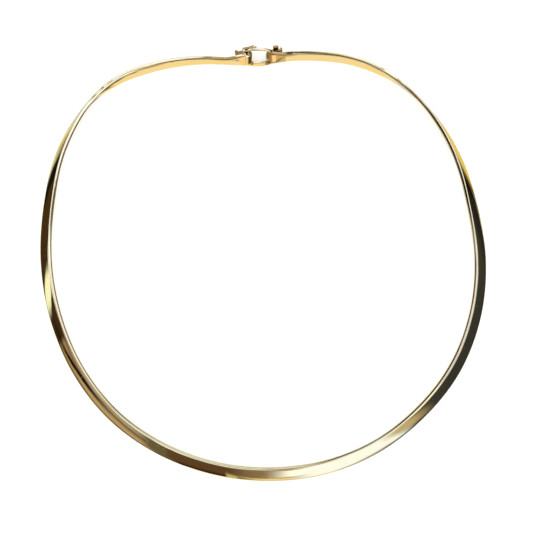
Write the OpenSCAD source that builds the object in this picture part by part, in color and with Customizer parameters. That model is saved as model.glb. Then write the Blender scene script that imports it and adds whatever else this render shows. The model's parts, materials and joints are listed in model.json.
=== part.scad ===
// Collar necklace: one flat strip of polished gold bent to the neck, with a hook and an eye cut from
// its own ends and fastened at the back. Millimetres. It lies on its lower edge, +Z up, the front
// towards -Y and the clasp at +Y. The origin is under the middle of its outer box.

/* [Collar] */
// Outer width of the ring, across the shoulders
collar_w = 130.6; // [120:0.2:150]
// Width of the flat strip
band_w = 4.8; // [4:0.1:5.6]
// Thickness of the strip
band_t = 1.15; // [0.9:0.05:1.3]
// Bevel along the strip's long edges
band_bevel = 0.16; // [0.05:0.01:0.3]

/* [Eye plate] */
// Length of the widened, pierced end
plate_l = 8; // [7.8:0.1:8.4]
// Height of the plate at its middle
plate_h = 7.1; // [6.9:0.1:7.3]
// Thickness of the plate
plate_t = 0.9; // [0.8:0.05:1]
// Length of the window, along its upper side
window_l = 5.7; // [5.4:0.1:5.9]
// How much longer the window is along its lower side
window_slant = 0.8; // [0:0.1:1]
// Height of the rail over the window
rail_top = 0.55; // [0.45:0.05:0.8]
// Height of the rail under the window
rail_bottom = 1.4; // [1.2:0.1:1.6]
// Width of the bar that the hook holds
bar_w = 1.05; // [0.95:0.05:1.1]

/* [Hook] */
// Height of the tongue past the bar
hook_h = 2; // [1.6:0.1:2.2]
// Height of the tongue at its tip
hook_tip_h = 1.2; // [1:0.1:1.6]
// Thickness of the tongue
hook_t = 0.8; // [0.7:0.05:0.85]
// Distance between the middles of the hook's two legs
hook_gap = 2.6; // [2.55:0.05:2.7]
// Length of the returning leg, from the bend to the tip
hook_l = 3.1; // [2.8:0.1:3.6]

/* [Lip and tab] */
// Thickness of the lip and of the tab
fold_t = 0.7; // [0.6:0.05:0.8]
// Height of the lip
lip_h = 1.1; // [0.9:0.1:1.2]
// Length of the lip
lip_l = 3.3; // [2.8:0.1:3.6]
// Length of the tab along the band
tab_l = 4.5; // [4.2:0.1:4.8]
// Height of the tab
tab_h = 2.3; // [1.8:0.1:2.5]
// How far the tab's lug stands over it
lug_h = 1.5; // [0.8:0.1:1.8]

/* [Hidden] */

// The ring's middle line and how the strip stands on it, from the hook's end round the front to the eye's
// clock: angle in degrees, 0 at the front and 90 at +X; radius: of the strip's middle, at rows_w across
// lean: degrees from upright, upper edge towards the neck; width: of the strip, as a share of band_w
// lift: of the strip's lower edge over the surface
CLOCK = 0;
RADIUS = 1;
LEAN = 2;
WIDTH = 3;
LIFT = 4;
rows_w = 130.6;
// Middle of the outer box, seen from the point that the clock angles turn about
box_mid = [-0.48, 0.97];
ring_rows = [
    [-174.8, 60.85, -21, 1, 2.2],
    [-170, 61.3, 1, 1, 1.6],
    [-164, 63.3, 0, 1, 0.8],
    [-150, 67.8, -6.5, 1, 0.1],
    [-142, 70.0, -3, 1, 0.02],
    [-135, 70.7, 9.5, 1, 0],
    [-120, 68.8, 30, 1, 0],
    [-105, 65.5, 38, 1, 0],
    [-90, 63.6, 40, 1, 0],
    [-75, 62.6, 41, 1, 0],
    [-60, 62.3, 41, 1, 0],
    [-45, 62.1, 41, 1, 0],
    [-30, 61.6, 41, 1, 0],
    [-15, 61.3, 41, 1, 0],
    [0, 61.3, 43, 1, 0],
    [15, 61.8, 42, 1, 0],
    [30, 62.3, 39, 1, 0],
    [45, 62.5, 40, 1, 0],
    [60, 63.0, 42, 1, 0],
    [75, 63.0, 42, 1, 0],
    [90, 62.9, 41, 1, 0],
    [105, 63.2, 38, 1, 0],
    [120, 65.1, 26, 1, 0],
    [135, 67.0, 16, 1, 0],
    [142, 67.4, 12, 1, 0],
    [150, 67.2, -1, 1, 0],
    [158, 66.1, -5, 1, 0],
    [165, 64.5, -6, 1, 0],
    [171, 63.2, -6, 1, 0],
    [175.5, 62.2, -9, 1, 0.1],
    [177.6, 61.86, -21, 1.04, 0.4],
    [178.4, 61.83, -26, 1.08, 0.84]
];
last_row = len(ring_rows) - 1;
first_clock = ring_rows[0][CLOCK];
last_clock = ring_rows[last_row][CLOCK];
ring_scale = collar_w / rows_w;

// Degrees of the ring from one section to the next, and the least number of sections to a row
section_step = 1.5;
row_sections = 4;
// Points in a half turn of a bent strip
bend_steps = 10;
// How far a strip reaches into the one that carries it
weld = 0.6;
// Bevel along the edges of the hook, the lip and the tab
fold_bevel = 0.1;
// How far the tongue lies below the middle of the strip, how much higher it is at its root than past the
// bar, and how far its tip turns up
hook_drop = 0.5;
hook_spread = 2;
hook_curl = 0.7;
// Height of the lip's middle over the plate's, and how far it rises from its fold to its free end
lip_mid = 2.35;
lip_rise = 1.2;
// Clearance inside the lip's fold
fold_clear = 0.2;

function row_below(clock, i = 0) =
    i >= last_row - 1 || clock < ring_rows[i + 1][CLOCK] ? i : row_below(clock, i + 1);
function rise(i, column) =
    (ring_rows[i + 1][column] - ring_rows[i][column]) / (ring_rows[i + 1][CLOCK] - ring_rows[i][CLOCK]);
function slope(i, column) =
    i == 0 ? rise(0, column) : i == last_row ? rise(last_row - 1, column)
    : (rise(i - 1, column) + rise(i, column)) / 2;

// A column's value at any clock angle, on a smooth curve through the rows
function at(clock, column) =
    let (i = row_below(clock), a = ring_rows[i], b = ring_rows[i + 1])
    let (step = b[CLOCK] - a[CLOCK], s = (clock - a[CLOCK]) / step)
    a[column] * (1 + 2 * s) * pow(1 - s, 2) + b[column] * s * s * (3 - 2 * s)
    + step * (slope(i, column) * s * pow(1 - s, 2) - slope(i + 1, column) * s * s * (1 - s));

function unit(v) = v / norm(v);
function plan(clock) = at(clock, RADIUS) * ring_scale * [sin(clock), -cos(clock)];
function heading(clock) = unit(plan(clock + 0.1) - plan(clock - 0.1));
function outward(clock) = let (h = heading(clock)) [h[1], -h[0], 0];
function strip_w(clock) = band_w * at(clock, WIDTH);

// Up the strip's width, and out of its outer face
function up_face(clock) =
    let (lean = at(clock, LEAN)) [0, 0, cos(lean)] - sin(lean) * outward(clock);
function out_face(clock) =
    let (lean = at(clock, LEAN)) [0, 0, sin(lean)] + cos(lean) * outward(clock);

// The middle of the strip, as high as its lower edge puts it
function middle(clock) =
    let (p = plan(clock), lean = at(clock, LEAN))
    [p[0], p[1], at(clock, LIFT) + strip_w(clock) / 2 * cos(lean) + band_t / 2 * abs(sin(lean))];

// A strip's section, a rectangle with bevelled corners, as [up the width, out of the face]
function bevelled(w, t, b) =
    let (u = w / 2, o = t / 2)
    [[-u, -o + b], [-u + b, -o], [u - b, -o], [u, -o + b], [u, o - b], [u - b, o], [-u + b, o], [-u, o - b]];

function section(clock) =
    [for (q = bevelled(strip_w(clock), band_t, band_bevel))
        middle(clock) + q[0] * up_face(clock) + q[1] * out_face(clock)];

// A closed solid through sections of equal point counts
module sweep(sections) {
    n = len(sections[0]);
    m = len(sections);
    sides = [for (i = [0 : m - 2], k = [0 : n - 1])
        let (j = (k + 1) % n)
        each [[i * n + k, (i + 1) * n + j, i * n + j], [i * n + k, (i + 1) * n + k, (i + 1) * n + j]]];
    first_cap = [for (k = [1 : n - 2]) [0, k, k + 1]];
    last_cap = [for (k = [1 : n - 2]) [0, k + 1, k] + (m - 1) * n * [1, 1, 1]];
    polyhedron([for (s = sections) each s], concat(sides, first_cap, last_cap));
}

// A strip that stands on its edge and follows a path in plan, h_start high and h_end high at its ends
function along(path, i) = unit(path[min(i + 1, len(path) - 1)] - path[max(i - 1, 0)]);
module bent_strip(path, t, h_start, h_end) {
    n = len(path) - 1;
    sweep([for (i = [0 : n])
        let (h = along(path, i), beside = [h[1], -h[0]])
        [for (q = bevelled(h_start + (h_end - h_start) * i / n, t, fold_bevel))
            [each path[i] + q[1] * beside, q[0]]]]);
}

function bend(centre, r, from, to) =
    [for (i = [0 : bend_steps]) let (a = from + (to - from) * i / bend_steps) centre + r * [cos(a), sin(a)]];

// Frame of a strip's end: x along the strip, y out of its outer face, z up its width
module at_end(clock) {
    h = heading(clock);
    turn = atan2(h[1], h[0]) + 180;
    translate(middle(clock)) rotate([0, 0, turn]) rotate([at(clock, LEAN), 0, 0]) children();
}

// Clock angles of the sections: evenly spaced between each row and the next
stations = [
    for (i = [0 : last_row - 1])
        let (from = ring_rows[i][CLOCK], to = ring_rows[i + 1][CLOCK])
        let (n = max(row_sections, ceil((to - from) / section_step)))
        each [for (k = [0 : n - 1]) from + (to - from) * k / n],
    last_clock
];
module band() {
    sweep([for (clock = stations) section(clock)]);
}

// The pierced end, an oval cut square at its free end, with its window's rails following the oval.
// plate_a is half of the whole oval's length, and oval_power is 2 for an ellipse and more for a squarer one
plate_left = -plate_l;
plate_mid = plate_left / 2 + 0.1;
plate_a = 5;
oval_power = 2.6;
window_left = plate_left + bar_w;
window_right = window_left + window_l;
function oval(half_h_up, half_h_down) =
    [for (angle = [0 : 3 : 357])
        let (c = cos(angle), s = sin(angle), half_h = s > 0 ? half_h_up : half_h_down)
        let (along = sign(c) * pow(abs(c), 2 / oval_power), up = sign(s) * pow(abs(s), 2 / oval_power))
        [plate_mid + plate_a * along, half_h * up]];

module eye_plate() {
    at_end(last_clock) rotate([90, 0, 0]) linear_extrude(plate_t, center = true) difference() {
        intersection() {
            polygon(oval(plate_h / 2, plate_h / 2));
            translate([plate_left, -plate_h / 2]) square([plate_l + weld, plate_h]);
        }
        intersection() {
            polygon(oval(plate_h / 2 - rail_top, plate_h / 2 - rail_bottom));
            polygon([[window_left, -plate_h], [window_left, plate_h], [window_right, plate_h / 2],
                [window_right + window_slant, -plate_h / 2]]);
        }
    }
}

// The tongue: out of the band's end, round the eye's bar and back along its far side
module hook() {
    r = hook_gap / 2;
    bend_x = 0.1;
    turn = bend([bend_x, r], r, -90, 90);
    tip_x = bend_x - hook_l;
    tip = [[tip_x + hook_curl, hook_gap - 0.15], [tip_x + 0.2, hook_gap], [tip_x, hook_gap + hook_curl]];
    at_end(first_clock) translate([0, (band_t - hook_t) / 2, -hook_drop]) {
        bent_strip(concat([[-weld, 0]], turn), hook_t, hook_h + hook_spread, hook_h);
        bent_strip(concat([[bend_x + 0.2, hook_gap]], tip), hook_t, hook_h, hook_tip_h);
    }
}

// The strip folded out and back from the upper corner of the eye's free end
module lip() {
    r = (fold_t + fold_clear) / 2;
    fold = bend([plate_left + r, r], r, 270, 90);
    tip = [plate_left + r + lip_l, 2 * r + lip_rise];
    at_end(last_clock) translate([0, 0, lip_mid])
        bent_strip(concat([[plate_left + bar_w, 0]], fold, [tip]), fold_t, lip_h, lip_h);
}

// The metal of the window, bent out of its far side and back along the band, with a lug on its edge.
// Both paths start at the window's far side, as [along the band, out of the plate]
module tab() {
    path = [[0.4, 0], [0.5, 0.7], [1.1, 1.5], [tab_l - 0.6, 1.8], [tab_l - 0.1, 2], [tab_l, 2.7]];
    lug_path = [[2.1, 1.6], [3.6, 2]];
    at_end(last_clock) translate([window_right, 0, 0]) {
        bent_strip(path, fold_t, tab_h, tab_h);
        translate([0, 0, (tab_h + lug_h - weld) / 2])
            bent_strip(lug_path, fold_t, lug_h + weld, lug_h + weld);
    }
}

module collar() {
    color("goldenrod") translate([-box_mid[0], -box_mid[1], 0]) {
        band();
        eye_plate();
        hook();
        lip();
        tab();
    }
}

collar();
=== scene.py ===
"""A collar necklace: one flat strip of polished gold bent to the neck, hooked together at the back.

Every length in the tables is in millimetres, and the meshes are in metres in the part's own frame: +Z up,
the front towards -Y and the clasp at +Y. A clock angle is 0 at the front and 90 at +X.
"""
import json
import math

import bmesh
import bpy
import numpy as np
from bpy.props import FloatProperty, FloatVectorProperty, IntProperty
from mathutils import Matrix, Vector

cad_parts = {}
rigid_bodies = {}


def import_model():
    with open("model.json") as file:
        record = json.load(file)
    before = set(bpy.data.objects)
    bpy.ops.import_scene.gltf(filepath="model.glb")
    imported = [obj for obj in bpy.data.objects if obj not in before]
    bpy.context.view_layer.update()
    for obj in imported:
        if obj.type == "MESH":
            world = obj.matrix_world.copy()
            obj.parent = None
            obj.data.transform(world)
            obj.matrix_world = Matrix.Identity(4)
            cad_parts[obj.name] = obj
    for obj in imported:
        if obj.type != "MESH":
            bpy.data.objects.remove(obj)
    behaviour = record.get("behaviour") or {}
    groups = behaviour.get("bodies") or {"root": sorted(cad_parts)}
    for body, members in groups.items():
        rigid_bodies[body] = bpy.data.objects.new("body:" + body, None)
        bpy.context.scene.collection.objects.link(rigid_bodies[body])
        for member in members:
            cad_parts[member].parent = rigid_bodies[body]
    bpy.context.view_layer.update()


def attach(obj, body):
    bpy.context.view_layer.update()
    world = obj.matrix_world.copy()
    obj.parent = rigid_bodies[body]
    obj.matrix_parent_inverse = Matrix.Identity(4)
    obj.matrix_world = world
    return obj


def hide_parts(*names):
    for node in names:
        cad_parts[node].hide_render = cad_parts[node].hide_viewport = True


bl_info = {
    "name": "Collar necklace",
    "version": (1, 0, 0),
    "blender": (4, 5, 0),
    "location": "View3D > Sidebar > Collar",
    "description": "Builds a rigid gold collar with its hook and eye, and the stage it lies on",
    "category": "Object",
}

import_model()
MM = 0.001

# Names of nodes and settings that come up often. A range takes a value, the two ends it goes between and what
# it becomes at each, 0 and 1 if nothing else is given
MATH = "ShaderNodeMath"
VECTOR_MATH = "ShaderNodeVectorMath"
RANGE = "ShaderNodeMapRange"
MIX = "ShaderNodeMix"
NOISE = "ShaderNodeTexNoise"
SMOOTH = {"interpolation_type": "SMOOTHSTEP"}

# The strip's middle line and how the strip stands on it, from the hook's end round the front to the eye's
# end: clock angle, radius in mm, lean in degrees from upright with the upper edge towards the neck, width as
# a share of the strip's, height of the lower edge in mm, thickness as a share of the strip's
CLOCK, RADIUS, LEAN, WIDTH, LIFT, THICKNESS = range(6)
RING_ROWS = np.array([
    (-174.8, 60.85, -21, 1, 2.2, 1),
    (-170, 61.3, 1, 1, 1.6, 1),
    (-164, 63.3, 0, 1, 0.8, 1),
    (-150, 67.8, -6.5, 1, 0.1, 1),
    (-142, 70.0, -3, 1, 0.02, 1),
    (-135, 70.7, 9.5, 1, 0, 1),
    (-120, 68.8, 30, 1, 0, 1),
    (-105, 65.5, 38, 1, 0, 1),
    (-90, 63.6, 40, 1, 0, 1),
    (-75, 62.6, 41, 1, 0, 1),
    (-60, 62.3, 41, 1, 0, 1),
    (-45, 62.1, 41, 1, 0, 1),
    (-30, 61.6, 41, 1, 0, 1),
    (-15, 61.3, 41, 1, 0, 1),
    (0, 61.3, 43, 1, 0, 1),
    (15, 61.8, 42, 1, 0, 1),
    (30, 62.3, 39, 1, 0, 1),
    (45, 62.5, 40, 1, 0, 1),
    (60, 63.0, 42, 1, 0, 1),
    (75, 63.0, 42, 1, 0, 1),
    (90, 62.9, 41, 1, 0, 1),
    (105, 63.2, 38, 1, 0, 1),
    (120, 65.1, 26, 1, 0, 1),
    (135, 67.0, 16, 1, 0, 1),
    (142, 67.4, 12, 1, 0, 1),
    (150, 67.2, -1, 1, 0, 1),
    (158, 66.1, -5, 1, 0, 1),
    (165, 64.5, -6, 1, 0, 1),
    (171, 63.2, -6, 1, 0, 1),
    (175.5, 62.2, -9, 1, 0.1, 0.92),
    (177.6, 61.86, -21, 1.04, 0.4, 0.8),
    (178.4, 61.83, -26, 1.08, 0.84, 0.76),
], float)
# The outer width of the ring that these rows make, and where the middle of its outer box is, both in mm
ROWS_ACROSS = 130.6
BOX_MIDDLE = Vector((-0.48, 0.97, 0))


def to_linear(hex_colour):
    """A colour as a screen shows it, turned to the linear values that the shaders take."""
    parts = [int(hex_colour[i:i + 2], 16) / 255 for i in (1, 3, 5)]
    return tuple(c / 12.92 if c <= 0.04045 else ((c + 0.055) / 1.055) ** 2.4 for c in parts) + (1.0,)


def add(tree, kind, settings=None, *values):
    """Adds one node to a tree. settings is its operation, or a dictionary of settings. values fill its inputs
    in order, or one dictionary gives them by name or number. A node among them is linked by its output."""
    node = tree.nodes.new(kind)
    if isinstance(settings, str):
        settings = {"operation": settings}
    for name, value in (settings or {}).items():
        setattr(node, name, value)
    inputs = values[0] if values and isinstance(values[0], dict) else dict(enumerate(values))
    for key, value in inputs.items():
        if isinstance(value, bpy.types.Node):
            value = value.outputs[0]
        if isinstance(value, bpy.types.NodeSocket):
            tree.links.new(value, node.inputs[key])
        else:
            node.inputs[key].default_value = value
    return node


# Sizes and looks that a user would change

LENGTH = {"unit": "LENGTH", "precision": 5}


class CollarBandSizes(bpy.types.PropertyGroup):
    """Sizes of the flat strip."""
    across: FloatProperty(
        name="Across", description="Outer width of the ring", default=ROWS_ACROSS * MM, unit="LENGTH")
    width: FloatProperty(
        name="Width", description="Width of the flat strip", default=4.8 * MM, **LENGTH)
    thickness: FloatProperty(
        name="Thickness", description="Thickness of the strip", default=1.15 * MM, **LENGTH)
    edge: FloatProperty(
        name="Edge radius", description="Rounding of the strip's outer long edges", default=0.2 * MM,
        **LENGTH)
    soft_edge: FloatProperty(
        name="Soft edge", description="How much of the thickness the rounding towards the neck takes",
        default=0.58 * MM, **LENGTH)
    crown: FloatProperty(
        name="Crown", description="How far polishing has left the middle of each face proud",
        default=0.08 * MM, **LENGTH)
    wave: FloatProperty(
        name="Wave", description="Unevenness along the strip, left by bending it by hand",
        default=0.02 * MM, **LENGTH)
    twist: FloatProperty(
        name="Twist", description="Unevenness of the strip's lean", default=0.012, subtype="ANGLE")
    seed: IntProperty(name="Seed", description="Picks another pattern of unevenness", default=3)


class CollarClaspSizes(bpy.types.PropertyGroup):
    """Sizes of the hook, the eye plate, its lip and its tab."""
    plate_length: FloatProperty(
        name="Plate length", description="Length of the widened, pierced end", default=8 * MM, **LENGTH)
    plate_height: FloatProperty(
        name="Plate height", description="Height of the plate at its middle", default=7.1 * MM, **LENGTH)
    plate_thickness: FloatProperty(
        name="Plate thickness", description="Thickness of the plate", default=0.9 * MM, **LENGTH)
    window_length: FloatProperty(
        name="Window length", description="Length of the window, along its upper side", default=5.7 * MM,
        **LENGTH)
    bar: FloatProperty(
        name="Bar", description="Width of the bar that the hook holds", default=1.05 * MM, **LENGTH)
    hook_height: FloatProperty(
        name="Hook height", description="Height of the hook's tongue past the bar", default=2 * MM, **LENGTH)
    hook_spread: FloatProperty(
        name="Hook spread", description="How much higher the tongue is at its root", default=2 * MM, **LENGTH)
    hook_gap: FloatProperty(
        name="Hook gap", description="Distance between the middles of the hook's legs", default=2.6 * MM,
        **LENGTH)
    hook_thickness: FloatProperty(
        name="Hook thickness", description="Thickness of the hook's tongue", default=0.8 * MM, **LENGTH)
    fold_thickness: FloatProperty(
        name="Fold thickness", description="Thickness of the lip and the tab", default=0.7 * MM, **LENGTH)
    edge: FloatProperty(
        name="Edge radius", description="Rounding of the clasp's edges", default=0.12 * MM, **LENGTH)


class CollarLooks(bpy.types.PropertyGroup):
    """Colours and finish of the gold, and of the stage."""
    gold: FloatVectorProperty(
        name="Gold", description="Colour that the polished gold reflects head on", subtype="COLOR", size=4,
        default=to_linear("#FCD985"), min=0, max=1)
    gold_warm: FloatVectorProperty(
        name="Warm gold", description="Colour of the gold where it is a little worn", subtype="COLOR", size=4,
        default=to_linear("#F8D27C"), min=0, max=1)
    # painted shade: a darker brown gold that stands in for the shade in the clasp's crevices and the dark it
    # mirrors there
    gold_painted_shade: FloatVectorProperty(
        name="Shaded gold", description="Colour of the gold under the brown bloom round the clasp",
        subtype="COLOR", size=4, default=to_linear("#A8823F"), min=0, max=1)
    roughness: FloatProperty(
        name="Roughness", description="How much the polish has dulled", default=0.035, min=0, max=1)
    scratches: FloatProperty(
        name="Scratches", description="Strength of the fine wear scratches", default=1.0, min=0, max=3)
    floor: FloatVectorProperty(
        name="Floor", description="Colour of the plain floor", subtype="COLOR", size=4,
        default=to_linear("#F2F1EF"), min=0, max=1)


# The strip's path

def column_slopes():
    """How steeply each column rises at each row, per degree."""
    rise = (RING_ROWS[1:] - RING_ROWS[:-1]) / (RING_ROWS[1:, :1] - RING_ROWS[:-1, :1])
    return np.vstack([rise[:1], (rise[:-1] + rise[1:]) / 2, rise[-1:]])


ROW_SLOPES = column_slopes()


def at(clock, column):
    """A column's value at any clock angle, on a smooth curve through the rows."""
    i = int(np.clip(np.searchsorted(RING_ROWS[:, CLOCK], clock, side="right") - 1, 0, len(RING_ROWS) - 2))
    below, above = RING_ROWS[i], RING_ROWS[i + 1]
    step = above[CLOCK] - below[CLOCK]
    s = (clock - below[CLOCK]) / step
    bend = ROW_SLOPES[i, column] * s * (1 - s) ** 2 - ROW_SLOPES[i + 1, column] * s * s * (1 - s)
    return float(below[column] * (1 + 2 * s) * (1 - s) ** 2 + above[column] * s * s * (3 - 2 * s)
                 + step * bend)


def strip_frame(clock, sizes):
    """Middle of the strip, the way along it, up its width and out of its outer face, in metres."""
    scale = sizes.across / (ROWS_ACROSS * MM)

    def plan(c):
        turn = math.radians(c)
        return at(c, RADIUS) * scale * Vector((math.sin(turn), -math.cos(turn), 0))

    heading = (plan(clock + 0.1) - plan(clock - 0.1)).normalized()
    outward = Vector((heading.y, -heading.x, 0))
    lean = math.radians(at(clock, LEAN))
    up_face = Vector((0, 0, math.cos(lean))) - math.sin(lean) * outward
    out_face = Vector((0, 0, math.sin(lean))) + math.cos(lean) * outward
    half_width = sizes.width * at(clock, WIDTH) / 2
    middle = (plan(clock) - BOX_MIDDLE) * MM
    middle.z = at(clock, LIFT) * MM + half_width * math.cos(lean)
    middle.z += sizes.thickness / 2 * abs(math.sin(lean))
    return middle, heading, up_face, out_face


def at_end(clock, sizes):
    """Frame of a strip's end: x along the strip, y out of its outer face, z up its width."""
    middle, heading, _, _ = strip_frame(clock, sizes)
    turn = Matrix.Rotation(math.atan2(heading.y, heading.x) + math.pi, 4, "Z")
    tilt = Matrix.Rotation(math.radians(at(clock, LEAN)), 4, "X")
    return Matrix.Translation(middle) @ turn @ tilt


# Geometry nodes: a strip with rounded edges along a path

EDGES = ("Upper outer edge", "Lower outer edge", "Lower inner edge", "Upper inner edge")


def strip_tree():
    """Sweeps a rounded, slightly crowned section along the points of a path.

    Each point of the path carries the section's two directions and its two sizes, as attributes. Each edge
    of the section is a quarter of an ellipse, with one radius up the width and one through the thickness.
    """
    tree = bpy.data.node_groups.new("Bent strip", "GeometryNodeTree")
    face = tree.interface
    face.new_socket("Path", in_out="INPUT", socket_type="NodeSocketGeometry")
    for name, kind, value in (
            *((edge, "NodeSocketVector", (0.0002, 0.0002, 0)) for edge in EDGES),
            ("Crown", "NodeSocketFloat", 0.0),
            ("Edge steps", "NodeSocketInt", 4), ("Face steps", "NodeSocketInt", 3),
            ("Wave", "NodeSocketFloat", 0.0), ("Wave length", "NodeSocketFloat", 0.014),
            ("Twist", "NodeSocketFloat", 0.0), ("Seed", "NodeSocketInt", 0)):
        face.new_socket(name, in_out="INPUT", socket_type=kind).default_value = value
    face.new_socket("Metal", in_out="INPUT", socket_type="NodeSocketMaterial")
    face.new_socket("Strip", in_out="OUTPUT", socket_type="NodeSocketGeometry")
    given = add(tree, "NodeGroupInput").outputs

    # points round the section: each corner's arc, then the points of the side that follows it
    both_steps = add(tree, MATH, "ADD", given["Edge steps"], given["Face steps"])
    corner_points = add(tree, MATH, "ADD", both_steps, 1.0)
    ring_points = add(tree, MATH, "MULTIPLY", corner_points, 4.0)
    path_points = add(tree, "GeometryNodeAttributeDomainSize", {"component": "MESH"},
                      {0: given["Path"]}).outputs["Point Count"]
    tube = add(tree, "GeometryNodeMeshCylinder", {"fill_type": "NGON"},
               {"Vertices": ring_points, "Side Segments": add(tree, MATH, "SUBTRACT", path_points, 1.0)})
    index = add(tree, "GeometryNodeInputIndex").outputs[0]

    def whole_and_rest(number, divisor):
        """How many times the divisor goes into a whole number, and what is left over."""
        share = add(tree, MATH, "DIVIDE", add(tree, MATH, "ADD", number, 0.5), divisor)
        whole = add(tree, MATH, "FLOOR", share)
        return whole, add(tree, MATH, "SUBTRACT", number, add(tree, MATH, "MULTIPLY", whole, divisor))

    station, point = whole_and_rest(index, ring_points)
    corner, step = whole_and_rest(point, corner_points)
    on_arc = add(tree, MATH, "MINIMUM", step, given["Edge steps"])
    arc_share = add(tree, MATH, "DIVIDE", on_arc, given["Edge steps"])
    past_arc = add(tree, MATH, "MAXIMUM", add(tree, MATH, "SUBTRACT", step, given["Edge steps"]), 0.0)
    side_share = add(tree, MATH, "DIVIDE", past_arc, add(tree, MATH, "ADD", given["Face steps"], 1.0))
    quarter = math.pi / 2
    arc_angle = add(tree, MATH, "MULTIPLY", add(tree, MATH, "ADD", corner, arc_share), quarter)
    here = add(tree, MATH, "MULTIPLY", add(tree, MATH, "ADD", corner, 0.5), quarter)
    there = add(tree, MATH, "ADD", here, quarter)

    # what the path says at this point's station
    value = {}
    for name, kind in (("middle", "FLOAT_VECTOR"), ("up_face", "FLOAT_VECTOR"), ("out_face", "FLOAT_VECTOR"),
                       ("strip_width", "FLOAT"), ("strip_thickness", "FLOAT")):
        if name == "middle":
            source = add(tree, "GeometryNodeInputPosition").outputs[0]
        else:
            source = add(tree, "GeometryNodeInputNamedAttribute", {"data_type": kind},
                         {"Name": name}).outputs["Attribute"]
        value[name] = add(tree, "GeometryNodeSampleIndex", {"data_type": kind, "domain": "POINT"},
                          {"Geometry": given["Path"], "Value": source, "Index": station}).outputs[0]

    # the radii at this corner and at the next one
    edges = [given[name] for name in EDGES]
    radii = []
    next_corner = add(tree, MATH, "MODULO", add(tree, MATH, "ADD", corner, 1.0), 4.0)
    for first, angle in ((corner, here), (next_corner, there)):
        chosen = add(tree, "GeometryNodeIndexSwitch", {"data_type": "VECTOR"}, {0: first})
        for _ in edges[2:]:
            chosen.index_switch_items.new()
        for i, edge in enumerate(edges):
            tree.links.new(edge, chosen.inputs[i + 1])
        radii.append((add(tree, "ShaderNodeSeparateXYZ", None, {0: chosen}).outputs, angle))

    def section_axis(size, wave, axis):
        """Where the point lies along one direction of the section, with its corner rounded."""
        half = add(tree, MATH, "MULTIPLY", size, 0.5)
        centres = []
        for radius, angle in radii:
            side = add(tree, MATH, "MULTIPLY", add(tree, MATH, wave, angle), math.sqrt(2))
            centres.append(add(tree, MATH, "MULTIPLY", side, add(tree, MATH, "SUBTRACT", half, radius[axis])))
        centre = add(tree, MIX, {"data_type": "FLOAT"}, {0: side_share, 2: centres[0], 3: centres[1]})
        radius = add(tree, MIX, {"data_type": "FLOAT"},
                     {0: side_share, 2: radii[0][0][axis], 3: radii[1][0][axis]})
        return add(tree, MATH, "MULTIPLY_ADD", add(tree, MATH, wave, arc_angle), radius, centre)

    up = section_axis(value["strip_width"], "COSINE", 0)
    out = section_axis(value["strip_thickness"], "SINE", 1)
    up_share = add(tree, MATH, "DIVIDE", add(tree, MATH, "MULTIPLY", up, 2.0), value["strip_width"])
    out_share = add(tree, MATH, "DIVIDE", add(tree, MATH, "MULTIPLY", out, 2.0), value["strip_thickness"])
    dome = add(tree, MATH, "SUBTRACT", 1.0, add(tree, MATH, "MULTIPLY", up_share, up_share))
    crown = add(tree, MATH, "MULTIPLY", add(tree, MATH, "MULTIPLY", dome, out_share), given["Crown"])

    # slow unevenness along the strip, the same over the whole of a section
    frequency = add(tree, MATH, "DIVIDE", 1.0, given["Wave length"])
    uneven = []
    for shift, size in ((0.0, "Wave"), (7.3, "Twist")):
        noise = add(tree, NOISE, {"noise_dimensions": "4D"},
                    {"Vector": value["middle"], "W": add(tree, MATH, "ADD", given["Seed"], shift),
                     "Scale": frequency, "Detail": 1.0}).outputs[0]
        uneven.append(add(tree, MATH, "MULTIPLY", add(tree, MATH, "SUBTRACT", noise, 0.5),
                          add(tree, MATH, "MULTIPLY", given[size], 2.0)))
    out = add(tree, MATH, "ADD", add(tree, MATH, "ADD", out, crown),
              add(tree, MATH, "MULTIPLY_ADD", up, uneven[1], uneven[0]))
    along_up = add(tree, VECTOR_MATH, "SCALE", {0: value["up_face"], "Scale": up})
    along_out = add(tree, VECTOR_MATH, "SCALE", {0: value["out_face"], "Scale": out})
    offset = add(tree, VECTOR_MATH, "ADD", along_up, along_out)
    place = add(tree, VECTOR_MATH, "ADD", value["middle"], offset)
    swept = add(tree, "GeometryNodeSetPosition", None,
                {"Geometry": tube.outputs["Mesh"], "Position": place.outputs[0]}).outputs[0]
    real = add(tree, "GeometryNodeRealizeInstances", None, {"Geometry": swept}).outputs[0]
    dressed = add(tree, "GeometryNodeSetMaterial", None, {"Geometry": real, "Material": given["Metal"]})
    add(tree, "NodeGroupOutput", None, {"Strip": dressed.outputs[0]})
    return tree


def swept_strip(name, stations, metal, edges, **inputs):
    """A closed mesh along stations, each (middle, up_face, out_face, width, thickness). edges are the two
    radii of each of the section's edges, in the order of EDGES."""
    tree = bpy.data.node_groups.get("Bent strip") or strip_tree()
    mesh = bpy.data.meshes.new(name + "_path")
    mesh.from_pydata([s[0] for s in stations], [(i, i + 1) for i in range(len(stations) - 1)], [])
    for key, kind, column in (("up_face", "FLOAT_VECTOR", 1), ("out_face", "FLOAT_VECTOR", 2),
                              ("strip_width", "FLOAT", 3), ("strip_thickness", "FLOAT", 4)):
        layer = mesh.attributes.new(key, kind, "POINT")
        values = np.array([s[column] for s in stations], np.float32).ravel()
        layer.data.foreach_set("vector" if kind == "FLOAT_VECTOR" else "value", values)
    path = bpy.data.objects.new(name + "_path", mesh)
    bpy.context.scene.collection.objects.link(path)
    modifier = path.modifiers.new("Bent strip", "NODES")
    modifier.node_group = tree
    sockets = {item.name: item.identifier for item in tree.interface.items_tree if item.in_out == "INPUT"}
    for key, value in dict(inputs, Metal=metal).items():
        modifier[sockets[key.replace("_", " ")]] = value
    for key, (up_width, through) in zip(EDGES, edges):
        modifier[sockets[key]] = (up_width, through, 0.0)
    return plain_copy(path, name)


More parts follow.
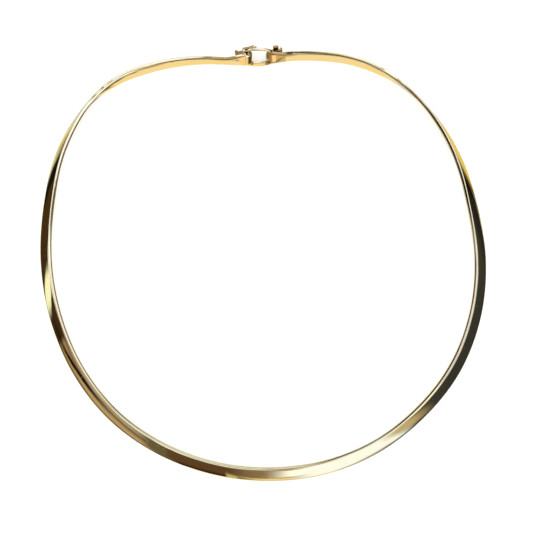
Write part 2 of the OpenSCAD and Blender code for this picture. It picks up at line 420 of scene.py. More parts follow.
def plain_copy(source, name):
    """The object with its modifiers turned into a plain mesh; the source is removed."""
    bpy.context.view_layer.update()
    graph = bpy.context.evaluated_depsgraph_get()
    mesh = bpy.data.meshes.new_from_object(source.evaluated_get(graph))
    mesh.name = name
    bpy.data.objects.remove(source)
    piece = bpy.data.objects.new(name, mesh)
    bpy.context.scene.collection.objects.link(piece)
    return piece


def rounded_ends(stations, radius, end=True):
    """Adds stations that round the section over at the start of a path, and at its end."""
    steps = 4
    # the last section keeps a tenth of its own rounding
    depth = 0.9

    def cap(last, way):
        made = []
        for i in range(1, steps + 1):
            angle = math.pi / 2 * i / steps
            shrink = 2 * depth * radius * (1 - math.cos(angle))
            place = last[0] + way * radius * (math.sin(angle) - 1)
            made.append((place, last[1], last[2], last[3] - shrink, last[4] - shrink))
        return made

    first_way = (stations[0][0] - stations[1][0]).normalized()
    last_way = (stations[-1][0] - stations[-2][0]).normalized()
    first, last = stations[0], stations[-1]
    body = [(first[0] - first_way * radius, *first[1:]), *stations[1:]]
    body = cap(first, first_way)[::-1] + body
    if end:
        body[-1] = (last[0] - last_way * radius, *last[1:])
        body += cap(last, last_way)
    return body


def smooth_path(points, step):
    """A smooth curve through points in plan, at even steps."""
    p = [np.array(q, float) for q in points]
    p = [2 * p[0] - p[1]] + p + [2 * p[-1] - p[-2]]
    made = []
    for a, b, c, d in zip(p, p[1:], p[2:], p[3:]):
        n = max(2, int(np.linalg.norm(c - b) / step))
        for i in range(n):
            s = i / n
            made.append(0.5 * (2 * b + (c - a) * s + (2 * a - 5 * b + 4 * c - d) * s ** 2
                               + (3 * b - a - 3 * c + d) * s ** 3))
    return made + [p[-2]]


def bend(centre, radius, start, stop, steps=18):
    """Points of an arc in plan, from one angle to another in degrees."""
    angles = np.radians(np.linspace(start, stop, steps + 1))
    return [(centre[0] + radius * math.cos(a), centre[1] + radius * math.sin(a)) for a in angles]


def stand_on_edge(place, path, height, thickness, lift=0.0):
    """Stations of a strip that stands on its edge along a path in plan, inside the frame of an end."""
    count = len(path) - 1
    turn = place.to_3x3()
    stations = []
    for i, q in enumerate(path):
        before, after = path[max(i - 1, 0)], path[min(i + 1, count)]
        way = Vector((after[0] - before[0], after[1] - before[1], 0)).normalized()
        beside = Vector((way.y, -way.x, 0))
        stations.append((place @ Vector((q[0], q[1], lift)), turn @ Vector((0, 0, 1)), turn @ beside,
                         height, thickness))
    return stations


# The pieces

FIRST_CLOCK, LAST_CLOCK = RING_ROWS[0, CLOCK], RING_ROWS[-1, CLOCK]
BAND_STATIONS = 640
PARTS = "Collar parts"
# An edge that turns by more than this is a corner
CORNER = math.radians(35)
# Points nearer than the first are one point, and edges shorter than the second are none, in metres
SAME_POINT, NO_EDGE = 2e-6, 1e-6


def parts_of_collar():
    """The collection that holds the parts until they are joined."""
    group = bpy.data.collections.get(PARTS)
    if group is None:
        group = bpy.data.collections.new(PARTS)
        bpy.context.scene.collection.children.link(group)
    return group


def keep_part(piece):
    """Moves a part into the collection that is joined at the end."""
    for group in list(piece.users_collection):
        group.objects.unlink(piece)
    parts_of_collar().objects.link(piece)


class CollarBuildBand(bpy.types.Operator):
    """Builds the flat strip, bent to the neck"""
    bl_idname = "collar.build_band"
    bl_label = "Build band"

    def execute(self, context):
        sizes = context.scene.collar_band
        metal = polished_gold(context.scene.collar_looks)
        stations = []
        for clock in np.linspace(FIRST_CLOCK, LAST_CLOCK, BAND_STATIONS):
            middle, _, up_face, out_face = strip_frame(clock, sizes)
            stations.append((middle, up_face, out_face, sizes.width * at(clock, WIDTH),
                             sizes.thickness * at(clock, THICKNESS)))
        stations = rounded_ends(stations, 0.6 * sizes.edge, end=False)
        # the edge towards the neck is buffed the most, and the lower outer one is drawn out down the face
        soft, small, long = sizes.soft_edge, sizes.edge, 2.5 * sizes.edge
        edges = ((small, small), (long, small), (1.5 * small, soft / 2), (1.5 * small, soft))
        band = swept_strip("band", stations, metal, edges, Crown=sizes.crown, Wave=sizes.wave,
                           Twist=sizes.twist, Seed=sizes.seed, Edge_steps=8, Face_steps=5)
        keep_part(band)
        return {"FINISHED"}


def plate_outline(sizes):
    """Outlines of the eye plate and of its window, in the frame of the band's end, in millimetres."""
    length, height = sizes.plate_length / MM, sizes.plate_height / MM
    # the squared oval that both follow
    left, middle, half_length, squareness = -length, -length / 2 + 0.1, 5.0, 2.6
    # how far the plate goes into the band, the rails over and under its window, and the slant of the
    # window's far side
    overlap, rail_top, rail_bottom, slant = 0.6, 0.55, 1.4, 0.8
    plate_corner, window_corner = 0.35, 0.3

    def oval(x, half_height):
        return half_height * (1 - abs((x - middle) / half_length) ** squareness) ** (1 / squareness)

    across = np.linspace(left, overlap, 60)
    plate = [(x, -oval(x, height / 2)) for x in across] + [(x, oval(x, height / 2)) for x in across[::-1]]
    window_left = left + sizes.bar / MM
    window_right = window_left + sizes.window_length / MM
    up_half, down_half = height / 2 - rail_top, height / 2 - rail_bottom

    def far_side(y):
        return window_right + slant * (height / 2 - y) / height

    top = [(x, oval(x, up_half)) for x in np.linspace(window_left, far_side(up_half * 0.8), 30)]
    bottom = [(x, -oval(x, down_half)) for x in np.linspace(window_left, far_side(-down_half * 0.8), 30)]
    return rounded_corners(plate, plate_corner), rounded_corners(bottom + top[::-1], window_corner)[::-1]


def rounded_corners(outline, radius):
    """The outline with each sharp corner cut back and rounded."""
    points = [Vector(p) for p in outline]
    ways = [((points[i - 1] - p).normalized(), (points[(i + 1) % len(points)] - p).normalized())
            for i, p in enumerate(points)]
    corners = {i for i, (before, after) in enumerate(ways) if -before.dot(after) < math.cos(CORNER)}
    made = []
    for i, p in enumerate(points):
        if i in corners:
            first, last = p + ways[i][0] * radius, p + ways[i][1] * radius
            for share in np.linspace(0, 1, 7):
                made.append((1 - share) ** 2 * first + 2 * share * (1 - share) * p + share ** 2 * last)
        elif all((p - points[k]).length >= radius for k in corners):
            made.append(p)
    return made


class CollarBuildEye(bpy.types.Operator):
    """Builds the pierced plate at one end, with its folded lip and its tab"""
    bl_idname = "collar.build_eye"
    bl_label = "Build eye"

    def execute(self, context):
        sizes = context.scene.collar_clasp
        metal = polished_gold(context.scene.collar_looks)
        place = at_end(LAST_CLOCK, context.scene.collar_band)
        keep_part(cut_plate("eye_plate", plate_outline(sizes), sizes.plate_thickness, sizes.edge, place,
                            metal))
        left = -sizes.plate_length / MM
        fold = sizes.fold_thickness / MM
        window_right = left + (sizes.bar + sizes.window_length) / MM
        # the lip folds out round the plate's free end, and rises away from the plate as it comes back
        radius = fold / 2 + 0.1
        rise, lip_height, lip_length, lip_middle = 1.2, 1.1, 3.3, 2.35
        path = [(left + sizes.bar / MM, 0)] + bend((left + radius, radius), radius, 270, 90)
        fold_end, fold_out = left + radius, 2 * radius
        path += smooth_path([(fold_end, fold_out), (fold_end + lip_length * 0.45, fold_out + 0.42),
                             (fold_end + lip_length, fold_out + rise)], 0.15)[1:]
        self.strip("lip", place, path, lip_height, fold, lip_middle, sizes.edge, metal)
        # the tab leaves the window's far side, runs back along the band and turns up; the lug stands on it
        tab_length, tab_height, lug_height, root = 4.5, 2.3, 1.5, 0.6
        path = smooth_path([(window_right + x, y) for x, y in
                            ((0.35, -0.05), (0.5, 0.7), (1.1, 1.5), (tab_length - 0.6, 1.8),
                             (tab_length - 0.12, 2.1), (tab_length, 2.7))], 0.12)
        self.strip("tab", place, path, tab_height, fold, 0.0, sizes.edge, metal)
        path = smooth_path([(window_right + 2.1, 1.6), (window_right + 3.6, 2)], 0.2)
        self.strip("lug", place, path, lug_height + root, fold, (tab_height + lug_height - root) / 2,
                   sizes.edge, metal)
        return {"FINISHED"}

    def strip(self, name, place, path, height, thickness, lift, edge, metal):
        """Builds one folded strip on edge along its path. Only the edge radius is in metres."""
        path = [(x * MM, y * MM) for x, y in path]
        stations = stand_on_edge(place, path, height * MM, thickness * MM, lift * MM)
        keep_part(swept_strip(name, rounded_ends(stations, edge), metal, [(edge, edge)] * 4, Face_steps=1))


class CollarBuildHook(bpy.types.Operator):
    """Builds the tongue that goes round the eye's bar"""
    bl_idname = "collar.build_hook"
    bl_label = "Build hook"

    def execute(self, context):
        sizes = context.scene.collar_clasp
        band = context.scene.collar_band
        metal = polished_gold(context.scene.collar_looks)
        inset = (band.thickness - sizes.hook_thickness) / 2
        bend_x, length, curl, root, drop, narrowing = 0.1, 3.1, 0.7, 0.6, 0.5, 0.8
        place = at_end(FIRST_CLOCK, band) @ Matrix.Translation((0, inset, -drop * MM))
        gap = sizes.hook_gap / MM
        path = [(-root, 0)] + bend((bend_x, gap / 2), gap / 2, -90, 90, 28)
        turned = len(path)
        tip_x = bend_x - length
        path += smooth_path([(bend_x, gap), (bend_x - 1.0, gap - 0.05), (tip_x + curl, gap - 0.15),
                             (tip_x + 0.18, gap + 0.02), (tip_x, gap + curl)], 0.12)[1:]
        path = [(x * MM, y * MM) for x, y in path]
        stations = stand_on_edge(place, path, sizes.hook_height, sizes.hook_thickness)
        # it is higher at its root, and its returning leg narrows to its tip
        for i, (middle, up_face, out_face, tall, thick) in enumerate(stations):
            tall += sizes.hook_spread * max(0, turned - 1 - i) / (turned - 1)
            tall -= narrowing * MM * max(0, i - turned) / (len(stations) - 1 - turned)
            stations[i] = (middle, up_face, out_face, tall, thick)
        hook = swept_strip("hook", rounded_ends(stations, sizes.edge), metal, [(sizes.edge, sizes.edge)] * 4,
                           Face_steps=1)
        keep_part(hook)
        return {"FINISHED"}


def cut_plate(name, outlines, thickness, edge, place, metal):
    """A flat plate cut to its outlines, with rounded edges, standing in the frame of an end."""
    curve = bpy.data.curves.new(name + "_outline", "CURVE")
    curve.dimensions = "2D"
    curve.fill_mode = "BOTH"
    curve.extrude = thickness / 2 - edge
    curve.bevel_depth = edge
    curve.bevel_resolution = 2
    curve.offset = -edge
    curve.materials.append(metal)
    for outline in outlines:
        spline = curve.splines.new("POLY")
        spline.points.add(len(outline) - 1)
        for point, (x, y) in zip(spline.points, outline):
            point.co = (x * MM, y * MM, 0, 1)
        spline.use_cyclic_u = True
    flat = bpy.data.objects.new(name, curve)
    bpy.context.scene.collection.objects.link(flat)
    piece = plain_copy(flat, name)
    stand = Matrix.Rotation(math.pi / 2, 4, "X")
    piece.data.transform(place @ stand)
    return piece


class CollarJoinParts(bpy.types.Operator):
    """Joins the parts into the one piece of metal that the collar is"""
    bl_idname = "collar.join_parts"
    bl_label = "Join parts"

    def execute(self, context):
        group = parts_of_collar()
        for part in group.objects:
            close_mesh(part.data)
        band = group.objects["band"]
        group.objects.unlink(band)
        context.scene.collection.objects.link(band)
        union = band.modifiers.new("Join", "BOOLEAN")
        union.operation = "UNION"
        union.solver = "EXACT"
        union.operand_type = "COLLECTION"
        union.collection = group
        joined = plain_copy(band, "neck_ring")
        for part in list(group.objects):
            bpy.data.objects.remove(part)
        bpy.data.collections.remove(group)
        mesh = joined.data
        close_mesh(mesh)
        mesh.shade_smooth()
        mesh.set_sharp_from_angle(angle=CORNER)
        weigh = joined.modifiers.new("Even shading", "WEIGHTED_NORMAL")
        weigh.keep_sharp = True
        weigh.weight = 60
        ring = plain_copy(joined, "neck_ring")
        mesh = ring.data
        if not len(mesh.polygons):
            raise RuntimeError("the joined collar is empty")
        mesh.materials.clear()
        mesh.materials.append(polished_gold(context.scene.collar_looks))
        mesh.polygons.foreach_set("material_index", np.zeros(len(mesh.polygons), np.int32))
        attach(ring, "root")
        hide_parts("collar")
        return {"FINISHED"}


def close_mesh(mesh):
    """Merges doubled points and turns every face outwards."""
    work = bmesh.new()
    work.from_mesh(mesh)
    bmesh.ops.remove_doubles(work, verts=work.verts, dist=SAME_POINT)
    bmesh.ops.dissolve_degenerate(work, edges=work.edges, dist=NO_EDGE)
    bmesh.ops.recalc_face_normals(work, faces=work.faces)
    work.to_mesh(mesh)
    work.free()
    mesh.update()


# Materials

# How the gold tints what it mirrors at a glancing angle, so that its rims stay yellow
GLANCING_TINT = (0.98, 0.82, 0.38, 1.0)

# Hairlines: how far apart they lie, how wide one is and how far its pattern is moved, in mm
HAIRLINES = ((3.1, 0.012, 0.0), (1.9, 0.014, 5.0), (4.3, 0.01, 9.0))

# Painted shade round the clasp, in mm: a brown darkening of the gold where its crevices, and the dark that
# they mirror, would shade it. It lies behind the eye plate, by the distance along a slanted direction, over
# the plate, by height, and on the walls of its window, by the distance from their middle height. Each pair is
# between where it shows and where it doesn't
PLATE_BACK = (-0.1, 1.0, -0.5)
PAST_PLATE = (59.95, 60.2)
OVER_PLATE = (4.4, 4.7)
WINDOW_MIDDLE, WINDOW_REACH = 3.4, (2.3, 2.6)
# Its patches: where each lies, its strength, from where to where it runs along X, and the length of its fade
PAINTED_SHADE_PATCHES = (
    ("behind", 1.0, -9.5, -3.6, 1.2),
    ("behind", 1.0, 1.8, 9.0, 1.0),
    ("over", 0.9, 2.4, 8.5, 0.8),
    ("window", 1.0, -3.8, -2.9, 0.2),
    ("window", 1.0, 0.6, 2.5, 0.3),
    ("anywhere", 0.6, 3.7, 6.4, 0.7),
)


def polished_gold(looks):
    """Yellow gold, rolled to a flat strip, bent and buffed: a clear mirror, with the hairlines, faint haze
    and tiny pits of wear that show only where it reflects something dark, and painted shade, a brown
    darkening of the gold in the clasp's crevices and where it mirrors the dark there."""
    name = "yellow_gold_polished"
    if name in bpy.data.materials:
        return bpy.data.materials[name]
    metal = bpy.data.materials.new(name)
    metal.use_nodes = True
    tree = metal.node_tree
    tree.nodes.clear()
    place = add(tree, "ShaderNodeTexCoord").outputs["Object"]

    # hairlines: the edges of large random cells, broken up, 2 to 4 mm long and as wide as shows
    lines = None
    for cell, width, shift in HAIRLINES:
        moved = add(tree, "ShaderNodeMapping", None, {"Vector": place, "Location": (shift, 0.3 * shift, 0)})
        cells = add(tree, "ShaderNodeTexVoronoi", {"feature": "DISTANCE_TO_EDGE"},
                    {"Vector": moved, "Scale": 1 / (cell * MM)})
        thin = add(tree, RANGE, SMOOTH, cells, 0.0, 2 * width / cell, 1.0, 0.0)
        breaks = add(tree, NOISE, None, {"Vector": moved, "Scale": 1 / (1.4 * MM), "Detail": 1.0})
        some = add(tree, RANGE, SMOOTH, breaks, 0.66, 0.72)
        broken = add(tree, MATH, "MULTIPLY", thin, some)
        lines = broken if lines is None else add(tree, MATH, "MAXIMUM", lines, broken)

    # tiny pits, a tenth of a millimetre across, in small groups
    pits = add(tree, "ShaderNodeTexVoronoi", None, {"Vector": place, "Scale": 1 / (0.8 * MM)})
    pit_edge = add(tree, RANGE, SMOOTH, pits.outputs["Distance"], 0.03, 0.09, 1.0, 0.0)
    groups = add(tree, NOISE, None, {"Vector": place, "Scale": 1 / (9 * MM), "Detail": 1.0})
    grouped = add(tree, RANGE, SMOOTH, groups, 0.6, 0.7)
    marks = add(tree, MATH, "MAXIMUM", lines, add(tree, MATH, "MULTIPLY", pit_edge, grouped))

    # the buffed surface rolls a little, over 3 to 8 mm, and its haze changes over 2 mm
    roll = add(tree, NOISE, None, {"Vector": place, "Scale": 1 / (6 * MM), "Detail": 2.0, "Roughness": 0.4})
    haze = add(tree, NOISE, None, {"Vector": place, "Scale": 1 / (2.2 * MM), "Detail": 4.0, "Roughness": 0.6})
    dulled = add(tree, RANGE, None, haze, 0.35, 0.75, looks.roughness * 0.7, looks.roughness * 1.9)
    rough = add(tree, MATH, {"operation": "MULTIPLY_ADD", "use_clamp": True},
                marks, 0.08 * looks.scratches, dulled)
    colour = add(tree, MIX, {"data_type": "RGBA"},
                 {0: haze, 6: tuple(looks.gold), 7: tuple(looks.gold_warm)}).outputs[2]

    # the painted shade's patches, on the back half only
    axes = add(tree, "ShaderNodeSeparateXYZ", None, place).outputs
    past = add(tree, VECTOR_MATH, "DOT_PRODUCT", place, PLATE_BACK).outputs["Value"]
    away = add(tree, MATH, "ABSOLUTE", add(tree, MATH, "SUBTRACT", axes[2], WINDOW_MIDDLE * MM))
    covered = {"anywhere": 1.0}
    for where, distance, (near, far), (before, after) in (
            ("behind", past, PAST_PLATE, (0.0, 1.0)), ("over", axes[2], OVER_PLATE, (0.0, 1.0)),
            ("window", away, WINDOW_REACH, (1.0, 0.0))):
        covered[where] = add(tree, RANGE, SMOOTH, distance, near * MM, far * MM, before, after)
    # the patches paint shade: they darken the gold behind the eye plate, in its window and on the strip
    # beside the tab
    shade = None
    for where, strength, first, last, fade in PAINTED_SHADE_PATCHES:
        start = add(tree, RANGE, SMOOTH, axes[0], first * MM, (first + fade / 2) * MM)
        end = add(tree, RANGE, SMOOTH, axes[0], last * MM, (last + fade) * MM, strength, 0.0)
        patch = add(tree, MATH, "MULTIPLY", add(tree, MATH, "MULTIPLY", start, end), covered[where])
        shade = patch if shade is None else add(tree, MATH, "MAXIMUM", shade, patch)
    shade = add(tree, MATH, "MULTIPLY", shade, add(tree, MATH, "GREATER_THAN", axes[1], 0.0))
    # the painted shade turns the gold towards the darker brown
    colour = add(tree, MIX, {"data_type": "RGBA"}, {0: shade, 6: colour, 7: tuple(looks.gold_painted_shade)})

    rolled = add(tree, "ShaderNodeBump", None, {"Height": roll, "Strength": 1.0, "Distance": 0.025 * MM})
    worn = add(tree, "ShaderNodeBump", {"invert": True},
               {"Height": marks, "Strength": 0.3 * looks.scratches, "Distance": 0.01 * MM, "Normal": rolled})
    shader = add(tree, "ShaderNodeBsdfPrincipled", None,
                 {"Base Color": colour.outputs[2], "Metallic": 1.0, "Roughness": rough, "Normal": worn,
                  "Specular Tint": GLANCING_TINT})
    add(tree, "ShaderNodeOutputMaterial", None, {"Surface": shader})
    return metal


def pale_board(looks):
    """Matt white board: an even pale ground with no grain of its own."""
    board = bpy.data.materials.new("board_matt_white")
    board.use_nodes = True
    shader = board.node_tree.nodes["Principled BSDF"]
    shader.inputs["Base Color"].default_value = tuple(looks.floor)
    shader.inputs["Roughness"].default_value = 0.9
    shader.inputs["Specular IOR Level"].default_value = 0.1
    return board


# Stage

# The lights of the room, by what they look like in the gold: sky, daylight and haze turn a cold to a warm
# white, glare a pale yellow, dusk sand, cloud and pearl tan, paper drab, lamplight olive, wood brown and rust
# a dark red
SKY, DAYLIGHT, HAZE, GLARE = "#92AAFF", "#9CB2FF", "#A0B0FF", "#B1CCFF"
DUSK, CLOUD, PEARL, PAPER = "#C4CAFF", "#EBF1FF", "#F6EEFF", "#FFF8D8"
LAMPLIGHT, WOOD, RUST = "#FFE482", "#FFD8D0", "#FF8181"

# The room that the polished metal mirrors, as soft panels seen from the collar, each laid over the ones
# before it: middle and half of its width in degrees of clock angle, lowest and highest elevation in degrees,
# the fade at its sides and at its top and bottom, how far it climbs per degree of clock angle, its light and
# its brightness
ROOM_PANELS = (
    ("white wall, left", 240.5, 47.5, 15.5, 87.5, 5.5, 1.5, 0.05, SKY, 3.6),
    ("pale wall, front left", 326, 36, 2, 23, 2, 16, 0.1, CLOUD, 1.5),
    ("white wall, back right", 138, 48, 1, 58, 20, 4, 0.2, DAYLIGHT, 3.8),
    ("white ceiling, front right", 38, 33, 34, 82, 2, 2, 0.1, DAYLIGHT, 3.7),
    ("drab ceiling, front left", 323, 41, 26, 110, 24, 5, -0.9, PAPER, 0.2),
    ("white strip round the back, at eye level", 180, 122, -2, 17, 2, 2, 0, HAZE, 2.4),
    ("tan column, back left", 216, 8, 1, 78, 6, 2, 0, CLOUD, 0.41),
    ("white wall, right", 93, 22, 18, 78, 2, 5, 0.1, DAYLIGHT, 3.4),
    ("white ceiling, back right", 142, 28, 50, 86, 24, 6, -0.3, DAYLIGHT, 3.4),
    ("white ceiling, back", 193, 20, 75, 82, 2, 2, 0.1, DAYLIGHT, 3.8),
    ("black beam, left", 291.5, 14.5, 38.5, 78, 3, 6.5, 1.3, LAMPLIGHT, 0.03),
    ("dark strip at eye level, right", 113, 63, -0.5, 11.5, 22.5, 1, -0.15, PEARL, 0.19),
    ("darker strip above it", 85, 26, 7, 26, 24, 1, -0.6, DUSK, 0.058),
    ("dark strip at eye level, left", 243, 35.5, -7, 10.5, 23, 4, 0.3, RUST, 0.038),
    ("white wall, front", 5, 56.5, -5, 28, 5.5, 1, 0.05, DAYLIGHT, 3.7),
    ("white column, front right", 42, 12, -2, 78, 2, 2, 0.6, SKY, 3.3),
    ("pale floor, all round", 349, 177, -89, -47, 2, 7, 0, DUSK, 1.8),
    ("pale board, front", 359, 23, -48, -20, 2, 2, 0.2, PEARL, 1.12),
    ("olive line under the board", 16, 10, -54, -50, 4, 4, 0.1, LAMPLIGHT, 0.2),
    ("tan board, front right", 42, 20, -59, -18, 3, 2, -0.1, CLOUD, 0.54),
    ("pale board, back right", 158, 33, -69, -0.5, 9, 5, -0.15, SKY, 3.1),
    ("dark floor, back", 170, 64, -82, -57, 20, 2, 0, RUST, 0.076),
    ("white board, back left", 206, 20, -82, 8, 8, 2, 0, DAYLIGHT, 3.8),
    ("red line, back left", 203.5, 16, -74, -53, 1, 1, 0.45, RUST, 0.14),
    ("tan board, back right", 130, 41, -57, -44.5, 2, 5, -0.65, CLOUD, 1),
    ("olive lamp, high at the back", 178, 8, 56, 72, 12, 10, -0.7, LAMPLIGHT, 0.07),
    ("tan patch beside it", 192, 8, 64, 78, 2, 2, 0.3, CLOUD, 0.95),
    ("olive ceiling, left", 246, 22, 68, 84, 17, 2, 0.2, LAMPLIGHT, 0.44),
    ("dark doorway, left", 276, 10, 8, 46, 10, 10, 1.6, WOOD, 0.022),
    ("olive column, front", 12, 10, 3, 66, 9, 2, -0.1, LAMPLIGHT, 0.31),
    ("brown stair, right", 83.5, 16.5, 17, 37, 7, 1, -0.95, CLOUD, 0.15),
    ("dark doorway, back left", 214, 26, -14, 13, 16, 16, 0.1, RUST, 0.012),
    ("dark line, back right", 126, 37, -21, 0, 2, 15, 0.6, DAYLIGHT, 0.047),
    ("grey board, back", 198, 45, -52, -18, 24, 2, -1, DAYLIGHT, 1.9),
    ("tan strip, back right", 152, 36, -26, -12, 4, 2, 0.1, CLOUD, 0.55),
    ("white board, back", 164, 18, -73, -12, 9, 10, -0.2, SKY, 3.5),
    ("white board, left", 250, 20, -64, -30, 20, 14, 0.7, HAZE, 3.2),
    ("black board, front left", 306, 22, -60, -33, 18, 1, 0.1, CLOUD, 0.0046),
    ("dark curtain, front right", 47, 14, -68, 0, 24, 3, -0.5, DAYLIGHT, 0.11),
    ("white board, right", 105, 10, -76, -25.5, 2, 4.5, -0.15, DAYLIGHT, 3.3),
    ("white slip, back left", 240, 17, -27, -14, 2, 2, 0.9, SKY, 3.2),
    ("dark curtain, right", 79, 24, -80, -2, 24, 3, -0.1, DAYLIGHT, 0.11),
    ("black slip, back right", 124, 12.5, -33.5, -26.5, 5, 4, -0.25, CLOUD, 0.0045),
    ("dark edge of the curtain", 95, 12, -80, -23, 6, 3, 0, DUSK, 0.059),
    ("pale board, left", 275, 28, -79, -25, 24, 14, -0.2, HAZE, 2.7),
    ("black curtain, front left", 298, 58, -28, -1, 7, 5, 0.1, DAYLIGHT, 0.021),
    ("white card, left", 271, 9, -31, -2, 8, 1, -0.2, DAYLIGHT, 3.4),
    ("dark slip across the card", 260, 17, -36, -12, 2, 3, -1.1, WOOD, 0.057),
    ("brown slip beside it", 276, 17, -30, -3.5, 2, 4, 0.4, WOOD, 0.05),
    ("bright gap, left", 270.5, 4.5, -21, -9, 5, 2, -1.15, GLARE, 2.3),
    ("tan strip, front left", 305, 22, -15.5, -8, 2.5, 8, 0, PEARL, 0.57),
    ("sand strip over it", 304, 19, -6, 2, 14, 2, 0, DUSK, 0.74),
    ("black line between them", 292, 12, -12, -8, 17, 2, 0.3, WOOD, 0.0059),
    ("brown post, front left", 328, 5, -15, 1, 4, 4, -0.5, CLOUD, 0.17),
    ("wooden chest, front left", 344, 14, -10, 4, 2, 7, 0.2, WOOD, 0.11),
    ("grey post, front", 358, 5, -8, 9, 10, 1, 0.3, PEARL, 0.27),
    ("pale strip under the post", 2, 7, -14, -6, 13, 2, 0, CLOUD, 1.1),
    ("bright end of the strip", 350, 1.5, -15, -7, 1, 5.5, -0.65, CLOUD, 0.75),
    ("window, front right", 27, 19, -15.5, 7, 10, 6.5, -0.15, SKY, 3.6),
    ("tan edge of the window", 46, 6, -13, -3, 10, 6, -0.5, CLOUD, 0.65),
)

# The grey between the panels, above and below the horizon, and over how many degrees one turns to the other
HIGH_GREY, LOW_GREY = 0.14, 0.1
HORIZON_FADE = 1.5

# What lights the white floor: straight, and by way of the gold, which would tint it yellow
TENT_WHITE = (1.35, 1.35, 1.35)
TENT_OFF_GOLD = (1.3, 1.75, 4.9)


def studio_room():
    """The light tent: an even white, in which only the metal sees the panels of the room."""
    room = bpy.data.worlds.new("light_tent")
    room.use_nodes = True
    # an even white tent needs no map of where its light comes from, which would take half a minute
    room.cycles.sampling_method = "NONE"
    tree = room.node_tree
    tree.nodes.clear()
    way = add(tree, "ShaderNodeTexCoord").outputs["Generated"]
    axes = add(tree, "ShaderNodeSeparateXYZ", None, way).outputs
    height = add(tree, MATH, "DEGREES", add(tree, MATH, "ARCSINE", axes[2]))
    to_front = add(tree, MATH, "MULTIPLY", axes[1], -1.0)
    clock = add(tree, MATH, "DEGREES", add(tree, MATH, "ARCTAN2", axes[0], to_front))
    grey = add(tree, RANGE, SMOOTH, height, -HORIZON_FADE, HORIZON_FADE, LOW_GREY, HIGH_GREY)
    light = add(tree, "ShaderNodeCombineXYZ", None, grey, grey, grey).outputs[0]
    for _, middle, half, low, high, side_fade, end_fade, climb, colour, brightness in ROOM_PANELS:
        # clock angles from the panel's middle, from -180 to 180
        turned = add(tree, MATH, "WRAP", add(tree, MATH, "SUBTRACT", clock, middle), 180.0, -180.0)
        level = add(tree, MATH, "MULTIPLY_ADD", turned, -climb, height)
        inside = None
        for value, edge, fade, (before, after) in (
                (add(tree, MATH, "ABSOLUTE", turned), half, side_fade, (1.0, 0.0)),
                (level, low, end_fade, (0.0, 1.0)), (level, high, end_fade, (1.0, 0.0))):
            share = add(tree, RANGE, SMOOTH, value, edge - fade / 2, edge + fade / 2, before, after)
            inside = share if inside is None else add(tree, MATH, "MULTIPLY", inside, share)
        shown = Vector(to_linear(colour)[:3]) * brightness
        light = add(tree, MIX, {"data_type": "VECTOR"}, {0: inside, 4: light, 5: tuple(shown)}).outputs[1]
    # the floor sees the even white, also by way of the metal
    path = add(tree, "ShaderNodeLightPath").outputs
    white = add(tree, MIX, {"data_type": "VECTOR"},
                {0: path["Is Glossy Ray"], 4: TENT_WHITE, 5: TENT_OFF_GOLD}).outputs[1]
    mirrored = add(tree, MATH, {"operation": "SUBTRACT", "use_clamp": True},
                   path["Is Glossy Ray"], path["Diffuse Depth"])
    light = add(tree, MIX, {"data_type": "VECTOR"}, {0: mirrored, 4: white, 5: light}).outputs[1]
    add(tree, "ShaderNodeOutputWorld", None,
        {"Surface": add(tree, "ShaderNodeBackground", None, {"Color": light, "Strength": 1.0})})
    return room


# The floor and the softbox over it, in metres and watts
FLOOR_HALF = 4.0
SOFTBOX_SIZE, SOFTBOX_HEIGHT, SOFTBOX_WATTS = 0.9, 0.8, 1.0

# The camera stands where the photograph was taken from: nearly overhead, a little towards the front
CAMERA_TARGET = Vector((1.06, -2.29, 2.0)) * MM
CAMERA_ELEVATION = math.radians(80)
CAMERA_DISTANCE = 450 * MM
CAMERA_CLIP = (0.01, 20)
SENSOR_MM, LENS_MM = 36.0, 104.27


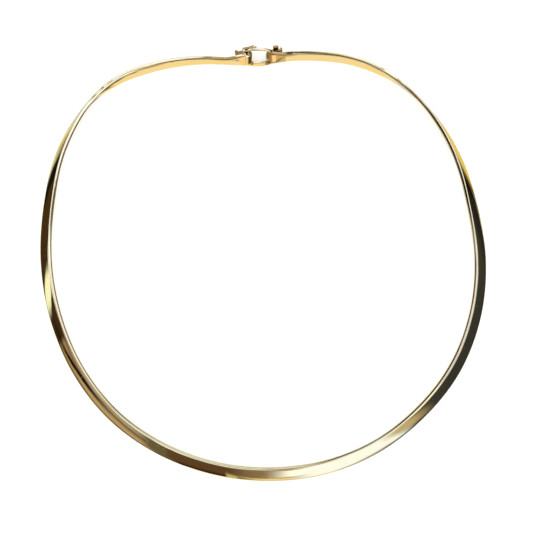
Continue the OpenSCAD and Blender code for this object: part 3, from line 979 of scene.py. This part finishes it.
class CollarBuildStage(bpy.types.Operator):
    """Builds the floor, the light and the camera"""
    bl_idname = "collar.build_stage"
    bl_label = "Build stage"

    def execute(self, context):
        scene = context.scene
        mesh = bpy.data.meshes.new("floor")
        corners = [(x * FLOOR_HALF, y * FLOOR_HALF, 0) for x, y in ((-1, -1), (1, -1), (1, 1), (-1, 1))]
        mesh.from_pydata(corners, [], [(0, 1, 2, 3)])
        mesh.materials.append(pale_board(scene.collar_looks))
        floor = bpy.data.objects.new("floor", mesh)
        scene.collection.objects.link(floor)
        # the polished outer faces mirror the room past the board's edge, not the board
        floor.visible_glossy = False

        scene.world = studio_room()
        scene.view_settings.view_transform = "Standard"
        scene.view_settings.look = "None"

        lamp = bpy.data.lights.new("overhead_softbox", "AREA")
        lamp.shape = "SQUARE"
        lamp.size = SOFTBOX_SIZE
        lamp.energy = SOFTBOX_WATTS
        softbox = bpy.data.objects.new("overhead_softbox", lamp)
        softbox.location = (0, 0, SOFTBOX_HEIGHT)
        softbox.rotation_euler = (CAMERA_TARGET - softbox.location).to_track_quat("-Z", "Y").to_euler()
        softbox.visible_glossy = False
        scene.collection.objects.link(softbox)

        camera = bpy.data.cameras.new("camera")
        camera.sensor_width = SENSOR_MM
        camera.lens = LENS_MM
        camera.clip_start, camera.clip_end = CAMERA_CLIP
        eye = bpy.data.objects.new("camera", camera)
        eye.location = CAMERA_TARGET + CAMERA_DISTANCE * Vector((0, -math.cos(CAMERA_ELEVATION),
                                                                 math.sin(CAMERA_ELEVATION)))
        eye.rotation_euler = (CAMERA_TARGET - eye.location).to_track_quat("-Z", "Y").to_euler()
        scene.collection.objects.link(eye)
        scene.camera = eye
        return {"FINISHED"}


class CollarPanel(bpy.types.Panel):
    """Sizes, looks and the steps that build the collar"""
    bl_idname = "VIEW3D_PT_collar"
    bl_label = "Collar necklace"
    bl_space_type = "VIEW_3D"
    bl_region_type = "UI"
    bl_category = "Collar"

    def draw(self, context):
        for title, group in (("Band", context.scene.collar_band), ("Clasp", context.scene.collar_clasp),
                             ("Looks", context.scene.collar_looks)):
            box = self.layout.box()
            box.label(text=title)
            for name in group.__annotations__:
                box.prop(group, name)
        for step in STEPS:
            self.layout.operator(step.bl_idname)


STEPS = (CollarBuildBand, CollarBuildEye, CollarBuildHook, CollarJoinParts, CollarBuildStage)
CLASSES = (CollarBandSizes, CollarClaspSizes, CollarLooks, *STEPS, CollarPanel)


def register():
    for kind in CLASSES:
        bpy.utils.register_class(kind)
    bpy.types.Scene.collar_band = bpy.props.PointerProperty(type=CollarBandSizes)
    bpy.types.Scene.collar_clasp = bpy.props.PointerProperty(type=CollarClaspSizes)
    bpy.types.Scene.collar_looks = bpy.props.PointerProperty(type=CollarLooks)


def unregister():
    del bpy.types.Scene.collar_band, bpy.types.Scene.collar_clasp, bpy.types.Scene.collar_looks
    for kind in reversed(CLASSES):
        bpy.utils.unregister_class(kind)


def main():
    register()
    for step in STEPS:
        group, name = step.bl_idname.split(".")
        getattr(getattr(bpy.ops, group), name)()


if __name__ == "__main__":
    main()
